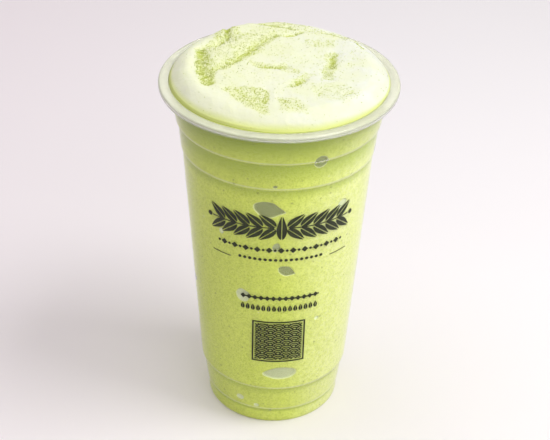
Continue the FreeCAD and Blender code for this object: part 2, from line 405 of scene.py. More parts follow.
def area_share(x, y, outline, soft):
    """1 inside an outline, falling to 0 at soft millimetres outside it."""
    loop = outline + outline[:1]
    gap = path_distance(x, y, loop, soft)
    if gap == math.inf:
        return 0.0
    inside = False
    for start, end in zip(loop, loop[1:]):
        if (start[1] > y) != (end[1] > y):
            crossing = start[0] + (y - start[1]) * (end[0] - start[0]) / (end[1] - start[1])
            inside ^= x < crossing
    return 1.0 if inside else smooth_step(soft, 0.0, gap)


# ---------------------------------------------------------------- shader parts


def new_material(name):
    """An empty node material, with its tree and the place on the object as a vector socket."""
    material = bpy.data.materials.new(name)
    material.use_nodes = True
    tree = material.node_tree
    tree.nodes.clear()
    return material, tree, tree.nodes.new("ShaderNodeTexCoord").outputs["Object"]


def show_surface(tree, shader):
    """Links a shader node to a new output of its material."""
    shader_node(tree, "ShaderNodeOutputMaterial", {"Surface": shader.outputs[0]})


def principled(tree, inputs):
    """A Principled shader with its input values or sockets."""
    return shader_node(tree, "ShaderNodeBsdfPrincipled", inputs)


def shader_node(tree, kind, inputs=None, **settings):
    """A node with its settings and input values; an input may be a socket to link from."""
    node = tree.nodes.new(kind)
    for key, value in settings.items():
        setattr(node, key, value)
    for key, value in (inputs or {}).items():
        socket = node.inputs[key]
        if isinstance(value, bpy.types.NodeSocket):
            tree.links.new(value, socket)
        elif hasattr(value, "__len__"):
            numbers = tuple(value)
            wanted = len(socket.default_value)
            socket.default_value = numbers + (1.0,) * (wanted - len(numbers))
        else:
            socket.default_value = value
    return node


def shaded(colour, share):
    """A colour with its values multiplied by a share, or by one share each."""
    shares = share if hasattr(share, "__len__") else (share,) * 3
    return tuple(value * part for value, part in zip(colour, shares))


def mixed_colour(tree, factor, first, second):
    """The colour between two others, by a factor socket or value."""
    inputs = {0: factor, 6: first, 7: second}
    return shader_node(tree, "ShaderNodeMix", inputs, data_type="RGBA").outputs[2]


def layered(tree, base, *layers):
    """A base colour under others, each given as its mask, its strength and its colour."""
    for mask, strength, colour in layers:
        factor = product(tree, mask, strength) if strength < 1.0 else mask
        base = mixed_colour(tree, factor, base, colour)
    return base


def ranged(tree, value, low, high, to_low=0.0, to_high=1.0):
    """A value mapped smoothly from one range to another."""
    node = shader_node(
        tree, "ShaderNodeMapRange", {0: value, 1: low, 2: high, 3: to_low, 4: to_high},
        interpolation_type="SMOOTHSTEP",
    )
    return node.outputs[0]


def combined(tree, operation, first, second):
    """Two values put together by a Math node's operation."""
    inputs = {0: first, 1: second}
    return shader_node(tree, "ShaderNodeMath", inputs, operation=operation).outputs[0]


def product(tree, first, second):
    """Two values multiplied."""
    return combined(tree, "MULTIPLY", first, second)


def place_value(tree, place, axis):
    """The place along X, Y or Z, by the number of the axis."""
    return shader_node(tree, "ShaderNodeSeparateXYZ", {0: place}).outputs[axis]


def band(tree, value, start, full, hold, end, strength=1.0):
    """A mask that rises from start to full, holds its strength, and falls from hold to end."""
    rising = ranged(tree, value, start, full)
    return product(tree, rising, ranged(tree, value, hold, end, strength, 0.0))


def bumped(tree, strength, distance, height):
    """A normal made uneven by a height; the distance is in metres."""
    settings = {"Strength": strength, "Distance": distance, "Height": height}
    return shader_node(tree, "ShaderNodeBump", settings).outputs[0]


def attribute_value(tree, name):
    """A value stored on the mesh's points."""
    return shader_node(tree, "ShaderNodeAttribute", attribute_name=name).outputs["Fac"]


def group_shell(name, inputs, outputs):
    """An empty node group, with the sockets that it is given and those that it fills."""
    group = bpy.data.node_groups.new(name, "ShaderNodeTree")
    for label, kind in inputs.items():
        group.interface.new_socket(label, in_out="INPUT", socket_type="NodeSocket" + kind)
    for label in outputs:
        group.interface.new_socket(label, in_out="OUTPUT", socket_type="NodeSocketFloat")
    given = group.nodes.new("NodeGroupInput").outputs[:len(inputs)]
    return group, given, group.nodes.new("NodeGroupOutput").inputs[:len(outputs)]


def fleck_group():
    """Scattered round flecks: how close the cells are, how many hold one, and how wide it is."""
    known = bpy.data.node_groups.get("flecks")
    if known:
        return known
    inputs = {"Vector": "Vector", "Scale": "Float", "Share": "Float", "Width": "Float"}
    group, (place, scale, share, width), result = group_shell("flecks", inputs, ["Mask"])
    cells = shader_node(group, "ShaderNodeTexVoronoi", {"Vector": place, "Scale": scale})
    chance = shader_node(group, "ShaderNodeSeparateColor", {0: cells.outputs["Color"]})
    chosen = combined(group, "LESS_THAN", chance.outputs[0], share)
    size = product(group, chance.outputs[1], width)
    inside = shader_node(
        group, "ShaderNodeMapRange", {0: cells.outputs["Distance"], 1: size, 2: 0.0, 3: 0.0, 4: 1.0}
    )
    group.links.new(product(group, chosen, inside.outputs[0]), result[0])
    return group


def mottle_group():
    """Soft patches at one size with a finer grain in them, between 0 and 1."""
    known = bpy.data.node_groups.get("mottle")
    if known:
        return known
    inputs = {"Vector": "Vector", "Scale": "Float"}
    group, (place, scale), results = group_shell("mottle", inputs, ["Patches", "Grain"])
    finer = product(group, scale, 14.0)
    patches = {"Vector": place, "Scale": scale, "Detail": 3.0, "Distortion": 0.6}
    grain = {"Vector": place, "Scale": finer, "Detail": 2.0}
    for settings, result in zip((patches, grain), results):
        noise = shader_node(group, "ShaderNodeTexNoise", settings)
        group.links.new(ranged(group, noise.outputs["Fac"], 0.3, 0.7), result)
    return group


def flecks(tree, place, scale, share, width):
    """The mask of the fleck group at its own scale."""
    inputs = {"Vector": place, "Scale": scale, "Share": share, "Width": width}
    return shader_node(tree, "ShaderNodeGroup", inputs, node_tree=fleck_group()).outputs["Mask"]


def mottle(tree, place, scale):
    """The patches and the grain of the mottle group."""
    inputs = {"Vector": place, "Scale": scale}
    return shader_node(tree, "ShaderNodeGroup", inputs, node_tree=mottle_group()).outputs[:2]


# ---------------------------------------------------------------- materials


def plastic_material(colours):
    """Clear moulded plastic, slightly milky.

    Lamps reach the drink through it. They lose more in the thick flange and ledges.
    """
    material, tree, place = new_material("clear plastic")
    patches, _ = mottle(tree, place, 60.0)
    height = place_value(tree, place, 2)
    level = product(tree, height, 1.0 / MM)
    thick = ranged(tree, height, FLANGE_START, FLANGE_END)
    smooth = ranged(tree, patches, 0.0, 1.0, 0.07, 0.12)
    body = principled(tree, {
        "Base Color": colours.plastic, "IOR": 1.46, "Transmission Weight": 0.98,
        "Roughness": combined(tree, "ADD", smooth, product(tree, thick, 0.12)),
        "Normal": bumped(tree, 0.03, 0.1 * MM, patches),
    })
    for low, high, _, _ in LEDGES:
        ledge = band(tree, level, low - 0.2, low, high, high + 0.1)
        thick = combined(tree, "MAXIMUM", thick, ledge)
    passing = mixed_colour(
        tree, thick, shaded(colours.plastic, 0.99), shaded(colours.plastic, 0.55)
    )
    clear = shader_node(tree, "ShaderNodeBsdfTransparent", {"Color": passing})
    light = tree.nodes.new("ShaderNodeLightPath")
    show_surface(tree, shader_node(
        tree, "ShaderNodeMixShader",
        {0: light.outputs["Is Shadow Ray"], 1: body.outputs[0], 2: clear.outputs[0]},
    ))
    return material


def painted_shade_share(tree, height, level, sideways):
    """Painted shade on the drink where shadow would fall: under the flange, most on the left, and
    under each ledge.
    """
    painted_shade = product(
        tree, ranged(tree, height, 0.885 * RIM_HEIGHT, 0.975 * RIM_HEIGHT),
        ranged(tree, sideways, 0.05 * RIM_RADIUS, 0.75 * RIM_RADIUS, 0.92, 0.45),
    )
    for low, high, depth, amount in LEDGES:
        under = band(tree, level, low - depth, low + 0.3, high - 0.7, high - 0.3, amount)
        painted_shade = combined(tree, "MAXIMUM", painted_shade, under)
    return painted_shade


def ledge_highlight_layers(tree, level, colour):
    """Painted highlight: the pale line where the upper corner of each ledge catches the light, as
    layers of a colour.
    """
    corners = [high for _, high, _, _ in LEDGES]
    lines = [band(tree, level, at - 0.3, at - 0.1, at + 0.2, at + 0.8, 0.42) for at in corners]
    return [(line, 1.0, colour) for line in lines]


def drink_material(colours):
    """Thick blended drink: milky streaks, fine tea flecks, tiny bubbles and grey-green pockets,
    with painted sheen on the right, painted shade under the flange and ledges and a painted
    highlight on each ledge.
    """
    material, tree, place = new_material("blended drink")
    patches, grain = mottle(tree, place, 38.0)
    blotches, fine_grain = mottle(tree, place, 110.0)
    specks = flecks(tree, place, 520.0, 0.16, 0.36)
    bubbles = flecks(tree, place, 300.0, 0.07, 0.34)
    height = place_value(tree, place, 2)
    level = product(tree, height, 1.0 / MM)
    sideways = place_value(tree, place, 0)
    dark = shaded(colours.drink, 0.72)
    # colour of the painted shade under the flange and the ledges
    shade = shaded(colours.drink, (0.52, 0.58, 0.2))
    pocket = attribute_value(tree, "pocket")
    pocket_colour = mixed_colour(
        tree, attribute_value(tree, "pale"), colours.pocket, colours.pocket_pale
    )
    # Painted shade: the drink's top ring is darker on the left and paler and bluer towards the
    # right, as lit from the right.
    brim_colour = mixed_colour(
        tree, ranged(tree, sideways, -0.85 * RIM_RADIUS, -0.2 * RIM_RADIUS),
        shaded(colours.foam_edge, 0.85), shaded(colours.foam_edge, (0.97, 0.95, 1.3)),
    )
    blended = layered(
        tree, colours.drink,
        (patches, 0.38, colours.drink_pale),
        # painted sheen on the right side, kept as the milk value
        (attribute_value(tree, "milk"), 0.95, colours.milk),
        (blotches, 0.12, dark),
        (grain, 0.48, dark),
        (fine_grain, 0.62, colours.drink_pale),
        (ranged(tree, fine_grain, 0.0, 0.45, 0.45, 0.0), 1.0, dark),
        (painted_shade_share(tree, height, level, sideways), 1.0, shade),
        *ledge_highlight_layers(tree, level, shaded(colours.foam, 0.95)),
        (specks, 0.85, shaded(colours.drink, 0.30)),
        (bubbles, 0.45, colours.foam),
        (ranged(tree, pocket, 0.35, 0.75), 1.0, pocket_colour),
        (band(tree, pocket, 0.02, 0.30, 0.35, 0.60), 0.6, shaded(colours.foam, 0.9)),
        (attribute_value(tree, "brim"), 1.0, brim_colour),
    )
    show_surface(tree, principled(tree, {
        "Base Color": blended, "IOR": 1.36, "Normal": bumped(tree, 0.25, 0.2 * MM, grain),
        "Roughness": ranged(tree, patches, 0.0, 1.0, 0.42, 0.55),
    }))
    return material


def foam_material(colours):
    """Milk foam: creamy and soft, green where it is thin or dusted, with powder flecks; whiter to
    the right partly as painted light, and with painted shade along its left edge.
    """
    material, tree, place = new_material("milk foam")
    patches, grain = mottle(tree, place, 70.0)
    dust = attribute_value(tree, "dust")
    coarse = flecks(tree, place, 900.0, dust, 0.8)
    fine = flecks(tree, place, 2100.0, dust, 0.9)
    bubbles = flecks(tree, place, 1300.0, 0.5, 0.9)
    # Partly painted light: the foam turns whiter and less yellow towards the right, where the key
    # light falls; partly a real change of cream.
    paler_cream_and_light = ranged(tree, place_value(tree, place, 0), -0.25 * RIM_RADIUS, 0.6 * RIM_RADIUS)
    powdered = layered(
        tree, colours.foam,
        (paler_cream_and_light, 1.0, shaded(colours.foam, (0.965, 0.965, 1.13))),
        (patches, 0.6, shaded(colours.foam, (0.965, 0.985, 0.84))),
        (attribute_value(tree, "thin"), 1.0, colours.foam_edge),
        (dust, 0.52, shaded(colours.foam_edge, (1.0, 1.0, 0.6))),
        (combined(tree, "MAXIMUM", coarse, fine), 0.55, colours.powder),
        # painted shade along the foam's left edge
        (attribute_value(tree, "rind"), 0.85, shaded(colours.foam_edge, 0.66)),
    )
    froth = combined(tree, "SUBTRACT", grain, bubbles)
    show_surface(tree, principled(tree, {
        "Base Color": powdered, "IOR": 1.35, "Normal": bumped(tree, 0.3, 0.12 * MM, froth),
        "Roughness": ranged(tree, grain, 0.0, 1.0, 0.5, 0.68),
        "Subsurface Weight": 0.35, "Subsurface Scale": 2.0 * MM,
        "Subsurface Radius": (1.0, 0.95, 0.6),
    }))
    return material


def powder_material(colours):
    """Green tea powder: matt grains between yellow-green and olive."""
    material, tree, place = new_material("tea powder")
    patches, grain = mottle(tree, place, 160.0)
    olive = shaded(colours.powder, 0.62)
    mixed = layered(tree, colours.powder, (patches, 1.0, olive), (grain, 0.6, colours.foam_edge))
    roughness = ranged(tree, grain, 0.0, 1.0, 0.8, 0.95)
    show_surface(tree, principled(tree, {"Base Color": mixed, "Roughness": roughness}))
    return material


def ink_material(colours):
    """Dark green printing ink, with the faint unevenness of a print on plastic."""
    material, tree, place = new_material("printed ink")
    patches, grain = mottle(tree, place, 220.0)
    show_surface(tree, principled(tree, {
        "Base Color": layered(tree, colours.ink, (patches, 0.7, shaded(colours.ink, 2.2))),
        "Normal": bumped(tree, 0.1, 0.05 * MM, grain), "Specular IOR Level": 0.25,
        "Roughness": ranged(tree, grain, 0.0, 1.0, 0.4, 0.55),
    }))
    return material


# ---------------------------------------------------------------- drink


def pocket_depth(x, y, height, pocket):
    """How far inside an air pocket a place on the wall lies: 1 in its middle, 0 outside."""
    bearing, level, half_width, half_height, tilt, point, _ = pocket
    radius = math.hypot(x, y)
    turn = (math.degrees(math.atan2(x, -y)) - bearing + 180.0) % 360.0 - 180.0
    across = math.radians(turn) * radius / MM
    up = height / MM - level
    if abs(across) > 2.0 * half_width or abs(up) > 2.0 * half_width:
        return 0.0
    lean = math.radians(tilt)
    along = (across * math.cos(lean) + up * math.sin(lean)) / half_width
    over = (up * math.cos(lean) - across * math.sin(lean)) / half_height
    narrowed = 1.0 - abs(point) * smooth_step(0.0, 1.0, along if point > 0 else -along)
    ripple = 0.06 * wave_noise(along * 2.1, over * 2.1, bearing)
    return smooth_step(1.10, 0.86, math.hypot(along, over / narrowed) + ripple)


def more_pockets(count):
    """Pockets on the sides and the back, where the wall has as many as in front."""
    chance = random.Random(11)
    added = []
    for index in range(count):
        bearing = 70.0 + 220.0 * (index + chance.random()) / count
        width = chance.uniform(1.4, 5.6)
        added.append((
            bearing, chance.uniform(14.0, 140.0), width, width * chance.uniform(0.5, 0.95),
            chance.uniform(-30.0, 30.0), chance.uniform(-0.5, 0.5), chance.choice((0.0, 0.4, 1.0)),
        ))
    return added


def refine_pockets(builder, pockets):
    """Divides the faces round each pocket twice, so that its border is sharp."""
    for _ in range(2):
        edges = set()
        for face in builder.faces:
            middle = face.calc_center_median()
            radius = math.hypot(middle.x, middle.y)
            for bearing, level, half_width, *_ in pockets:
                core = on_wall(math.radians(bearing), radius, level * MM)
                if (middle - core).length < 1.5 * half_width * MM:
                    edges.update(face.edges)
                    break
        bmesh.ops.subdivide_edges(builder, edges=list(edges), cuts=1, use_grid_fill=True)


class FRAPPE_OT_drink(bpy.types.Operator):
    """Makes the drink, which fills the cup a little way into its wall"""

    bl_idname = "frappe.drink"
    bl_label = "Drink"

    def execute(self, context):
        wall = drink_section(FILL_GAP + INTO_WALL)
        edge_radius, edge_height = wall[-1]
        top = [
            (edge_radius - inwards * MM, edge_height + up * MM)
            for inwards, up in ((0.0, 0.45), (0.5, 0.2), (1.4, 0.05), (4.0, -0.2), (12.0, -2.0))
        ]
        top.append((0.0, edge_height - 2.5 * MM))
        builder = spun(divided(wall, 1.3 * MM) + divided(top, 2.0 * MM), CUP_TURNS)
        pockets = POCKETS + more_pockets(SIDE_POCKETS)
        refine_pockets(builder, pockets)
        pocket_layer, pale_layer, brim_layer, painted_sheen_layer = value_layers(
            builder, "pocket", "pale", "brim", "milk"
        )
        for vertex in builder.verts:
            x, y, height = vertex.co
            vertex[brim_layer] = 0.95 * smooth_step(-0.15 * MM, 0.1 * MM, height - edge_height)
            # Painted sheen: the drink is paler on its right side, where the wall reflects the
            # bright room; kept as the milk value.
            turned = math.atan2(y, x) + 0.25 * wave_noise(height / MM * 0.05, 0.0, 4.0)
            vertex[painted_sheen_layer] = smooth_step(0.25, 0.95, math.cos(turned + 0.22))
            for pocket in pockets:
                depth = pocket_depth(x, y, height, pocket)
                if depth > vertex[pocket_layer]:
                    vertex[pocket_layer] = depth
                    vertex[pale_layer] = pocket[6]
            inwards = 0.6 * MM * vertex[pocket_layer]
            shrink = 1.0 - inwards / max(math.hypot(x, y), MM)
            vertex.co = Vector((x * shrink, y * shrink, height))
        piece = mesh_object("blended_drink", builder)
        finish_piece(piece, drink_material(context.scene.frappe_colours), "drink")
        return {"FINISHED"}


# ---------------------------------------------------------------- foam


def foam_outline(angle):
    """Distance of the foam's edge from the axis, in millimetres, by the angle from the right."""
    front = max(-math.sin(angle), 0.0)
    left = max(-math.cos(angle), 0.0)
    wobble = 0.20 * math.sin(5.0 * angle + 0.7) + 0.12 * math.sin(11.0 * angle + 2.0)
    return 44.8 - 0.7 * front ** 2 - 0.8 * front * left + wobble * (0.2 + 0.6 * front)


def foam_height(x, y, edge, sizes):
    """Height of the foam's top above its edge, and the powder there; lengths in millimetres."""
    relief, swell, ripple, wander = 0.8, 0.20, 0.07, 0.8
    from_centre = math.hypot(x, y)
    border = min(max((edge - from_centre) / (sizes.foam_slope / MM), 0.0), 1.0)
    slope = math.sin(math.pi / 2.0 * border) ** 0.95
    backwards = (1.0 + y / max(from_centre, 1.0)) / 2.0
    edge_rise = sizes.back_rise / MM * backwards ** 4 * smooth_step(0.0, 0.12, border)
    height = edge_rise + slope * (sizes.foam_rise / MM - edge_rise)
    powder = 0.0
    wander_x = x + wander * wave_noise(x * 0.35, y * 0.35, 1.0)
    wander_y = y + wander * wave_noise(x * 0.35, y * 0.35, 5.0)
    fade = smooth_step(0.0, 0.25, border)
    for path, half_width, rise, powder_width, amount in FOAM_PATHS:
        gap = path_distance(wander_x, wander_y, path, 2.4 * half_width)
        if gap == math.inf:
            continue
        height += fade * relief * rise * math.exp(-(gap / half_width) ** 2)
        if amount:
            powder = max(powder, amount * math.exp(-(gap / powder_width) ** 4))
    for outline, soft, amount in FOAM_AREAS:
        if amount > powder:
            powder = max(powder, amount * area_share(wander_x, wander_y, outline, soft))
    height += fade * swell * wave_noise(x * 0.45, y * 0.45, 3.0)
    height += fade * ripple * wave_noise(x * 1.5, y * 1.5, 8.0)
    powder *= 0.85 + 0.5 * wave_noise(x * 1.1, y * 1.1, 2.0)
    return height, min(max(powder, 0.0), 1.0)


class FRAPPE_OT_foam(bpy.types.Operator):
    """Makes the folded cap of milk foam that rises above the rim"""

    bl_idname = "frappe.foam"
    bl_label = "Foam"

    def execute(self, context):
        sizes = context.scene.frappe_sizes
        section = [(0.0, 1.0)]
        for ring in range(1, FOAM_RINGS + 1):
            section.append((math.sin(math.pi / 2.0 * (ring / FOAM_RINGS) ** 0.9), 1.0))
        section += [(1.0, 0.0), (0.985, -0.8), (0.9, -1.6), (0.0, -2.2)]
        builder = spun(section, FOAM_TURNS)
        dust_layer, thin_layer, left_edge_shade_layer = value_layers(builder, "dust", "thin", "rind")
        level = BRIM_HEIGHT + sizes.foam_level
        for vertex in builder.verts:
            share = min(math.hypot(vertex.co.x, vertex.co.y), 1.0)
            angle = math.atan2(vertex.co.y, vertex.co.x)
            edge = foam_outline(angle)
            x, y = share * edge * math.cos(angle), share * edge * math.sin(angle)
            inside = edge * (1.0 - share)
            if vertex.co.z < 0.5:
                vertex.co = Vector((x * MM, y * MM, level - 0.5 * MM + vertex.co.z * MM))
                vertex[thin_layer] = 1.0
                continue
            height, powder = foam_height(x, y, edge, sizes)
            vertex[dust_layer] = powder
            border = 0.9 + 2.4 * max(-math.sin(angle + 0.35), 0.0)
            vertex[thin_layer] = 0.95 * smooth_step(border, 0.0, inside)
            # Painted shade: a darker olive band along the foam's left edge, where it meets the wall
            # in shade.
            leftwards = smooth_step(0.1, 0.8, -math.cos(angle - 0.25))
            vertex[left_edge_shade_layer] = leftwards * smooth_step(0.9, 0.4, inside)
            vertex.co = Vector((x * MM, y * MM, level + height * MM))
        piece = mesh_object("milk_foam", outwards(builder))
        finish_piece(piece, foam_material(context.scene.frappe_colours), "foam")
        return {"FINISHED"}


class FRAPPE_OT_powder(bpy.types.Operator):
    """Scatters the coarse grains of tea powder over the foam"""

    bl_idname = "frappe.powder"
    bl_label = "Powder"

    def execute(self, context):
        sizes = context.scene.frappe_sizes
        chance = random.Random(29)
        surface = bmesh.new()
        surface.from_mesh(bpy.data.objects["milk_foam"].data)
        dust_layer = surface.verts.layers.float["dust"]
        tops = [face for face in surface.faces if face.normal.z > 0.2]
        tops.sort(key=lambda face: [tuple(vertex.co) for vertex in by_place(face.verts)])
        weights = []
        stray = 0.003
        for face in tops:
            powder = sum(vertex[dust_layer] for vertex in face.verts) / len(face.verts)
            weights.append(face.calc_area() * (stray + powder ** 1.8))
        builder = bmesh.new()
        bmesh.ops.create_cube(builder, size=0.8)
        spots = chance.choices(tops, weights, k=COARSE_GRAINS)
        for face, grain in zip(spots, copied(builder, len(spots))):
            shares = [chance.random() for _ in face.verts]
            corners = zip(by_place(face.verts), shares)
            place = sum((corner.co * share for corner, share in corners), Vector()) / sum(shares)
            width = sizes.powder_grain * chance.uniform(0.45, 1.1)
            turn = Euler([chance.uniform(0.0, math.tau) for _ in range(3)]).to_matrix()
            shape = turn @ Matrix.Diagonal((width, width * chance.uniform(0.6, 1.0), 0.7 * width))
            for vertex in grain:
                vertex.co = place + 0.2 * width * face.normal + shape @ vertex.co
        surface.free()
        piece = mesh_object("tea_powder", builder, smooth=False)
        finish_piece(piece, powder_material(context.scene.frappe_colours))
        return {"FINISHED"}


# ---------------------------------------------------------------- cup and print


def frosted_material(colours):
    """Milky plastic inside the flange and the lip, through which a little of the drink shows."""
    material, tree, place = new_material("frosted plastic")
    patches, grain = mottle(tree, place, 90.0)
    show_surface(tree, principled(tree, {
        "Base Color": layered(tree, colours.frost, (patches, 0.5, shaded(colours.frost, 0.94))),
        "Normal": bumped(tree, 0.05, 0.05 * MM, grain),
        "Roughness": ranged(tree, patches, 0.0, 1.0, 0.4, 0.55),
        "Alpha": ranged(tree, patches, 0.0, 1.0, 0.42, 0.50),
    }))
    return material


def rounded(corners, bend, spans=6):
    """The path through some corners, with the inner ones rounded."""
    corners = [Vector(corner) for corner in corners]
    path = [corners[0]]
    for before, corner, after in zip(corners, corners[1:], corners[2:]):
        start = corner + bend * (before - corner).normalized()
        end = corner + bend * (after - corner).normalized()
        for step in range(spans + 1):
            share = step / spans
            path.append(start.lerp(corner, share).lerp(corner.lerp(end, share), share))
    return path + [corners[-1]]


def rim_core():
    """A thin closed shell in the middle of the flange, down to where the lip is turned."""
    top = RIM_HEIGHT - 0.5 * WALL
    outer = RIM_RADIUS - 0.5 * WALL
    flange_width, lip_depth, bend = 3.9 * MM, 0.9 * MM, 0.7 * MM
    corners = [(outer - flange_width, top), (outer, top), (outer, top - lip_depth)]
    builder = spun(rounded(corners, bend), CUP_TURNS)
    bmesh.ops.solidify(builder, geom=builder.faces[:], thickness=0.16 * MM)
    return outwards(builder)


class FRAPPE_OT_cup(bpy.types.Operator):
    """Gives the cup its clear plastic, and the flange its milky core"""

    bl_idname = "frappe.cup"
    bl_label = "Cup"

    def execute(self, context):
        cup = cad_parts["cup"]
        cup.data.materials.clear()
        cup.data.materials.append(plastic_material(context.scene.frappe_colours))
        core = mesh_object("frosted_rim", rim_core())
        finish_piece(core, frosted_material(context.scene.frappe_colours))
        return {"FINISHED"}


def body_line():
    """The straight outer side of the cup's body: its radius at height zero, and its slope."""
    section = drink_section(FILL_GAP + WALL)
    side = [point for point in section if 0.22 * RIM_HEIGHT < point[1] < 0.78 * RIM_HEIGHT]
    start, end = side[0], side[-1]
    slope = (end[0] - start[0]) / (end[1] - start[1])
    return start[0] - slope * start[1], slope


def wrap_on_cup(builder, centre_bearing, thickness):
    """Wraps flat ink, drawn in X and Z, round the cup's body and gives it thickness."""
    foot_radius, slope = body_line()
    lowest = min(vertex.co.x for vertex in builder.verts)
    highest = max(vertex.co.x for vertex in builder.verts)
    cuts = math.ceil((highest - lowest) / (1.2 * MM))
    for cut in range(1, cuts):
        bmesh.ops.bisect_plane(
            builder, geom=everything(builder), dist=0.001 * MM, plane_no=(1, 0, 0),
            plane_co=(lowest + (highest - lowest) * cut / cuts, 0, 0),
        )
    outwards(builder)
    raised = bmesh.ops.extrude_face_region(builder, geom=builder.faces[:])["geom"]
    outer = {element for element in raised if isinstance(element, bmesh.types.BMVert)}
    for vertex in builder.verts:
        x, _, height = vertex.co
        lift = thickness if vertex in outer else 0.01 * MM
        radius = foot_radius + slope * height
        bearing = x / radius + math.radians(centre_bearing)
        radius += lift
        vertex.co = on_wall(bearing, radius, height)
    return outwards(builder)


def flat_place(x, height, turn=0.0):
    """A matrix that puts a flat shape drawn in XY at a place on the print, drawn in X and Z."""
    upright = Matrix.Rotation(math.pi / 2.0, 4, "X")
    return Matrix.Translation((x, 0.0, height)) @ Matrix.Rotation(-turn, 4, "Y") @ upright


def add_disc(builder, x, height, radius, corners):
    """A dot of ink, or with four corners a diamond."""
    bmesh.ops.create_circle(
        builder, cap_ends=True, segments=corners, radius=radius, matrix=flat_place(x, height)
    )


def add_bar(builder, x, height, length, width, turn=0.0):
    """A straight bar of ink."""
    shape = Matrix.Diagonal((length, width, 1.0, 1.0))
    bmesh.ops.create_grid(
        builder, x_segments=1, y_segments=1, size=0.5, matrix=flat_place(x, height, turn) @ shape
    )


def add_leaf(builder, x, height, length, half_width, turn):
    """A tea leaf in two halves, from its stalk to its tip, with a bare midrib."""
    spans = 12
    gap = 0.10 * half_width
    outline = [(length * 0.97, gap), (length * 0.03, gap)]
    for step in range(1, spans):
        share = step / spans
        bulge = half_width * math.sin(math.pi * share ** 0.8) * (1.0 - 0.25 * share)
        outline.append((share * length, gap + bulge))
    matrix = flat_place(x, height, turn)
    for side in (-1.0, 1.0):
        places = [matrix @ Vector((along, side * across, 0.0)) for along, across in outline]
        builder.faces.new([builder.verts.new(place) for place in places])


def add_arc(builder, x, height, radius, width, start, end):
    """A stroke of ink along an arc; angles count from the right."""
    spans = max(3, math.ceil((end - start) * radius / (0.5 * MM)))
    shape = []
    for reach in (radius - width / 2.0, radius + width / 2.0):
        place = (x + reach * math.cos(start), 0.0, height + reach * math.sin(start))
        shape.append(builder.verts.new(place))
    line = builder.edges.new(shape)
    bmesh.ops.spin(
        builder, geom=shape + [line], cent=(x, 0.0, height), axis=(0, -1, 0), dvec=(0, 0, 0),
        angle=end - start, steps=spans, use_merge=False, use_normal_flip=False, use_duplicate=False,
    )


def leaf_row(width, height):
    """A garland of tea leaves to both sides of a bud, drawn round its own middle."""
    builder = bmesh.new()
    pairs = 5
    step = 0.088 * width
    size = 0.76 * height
    add_leaf(builder, 0.0, -0.5 * height, height, 0.17 * height, math.pi / 2.0)
    for side in (-1.0, 1.0):
        for pair in range(pairs):
            start = side * (0.035 * width + step * pair)
            for up in (-1.0, 1.0):
                turn = up * math.radians(40.0)
                add_leaf(
                    builder, start, up * 0.3 * MM, size, 0.16 * height,
                    turn if side > 0 else math.pi - turn,
                )
        add_bar(builder, side * (0.05 * width + step * pairs / 2.0), 0.0, step * pairs, 0.5 * MM)
        add_disc(builder, side * (0.075 * width + step * pairs), 0.0, 0.09 * height, 16)
    return builder


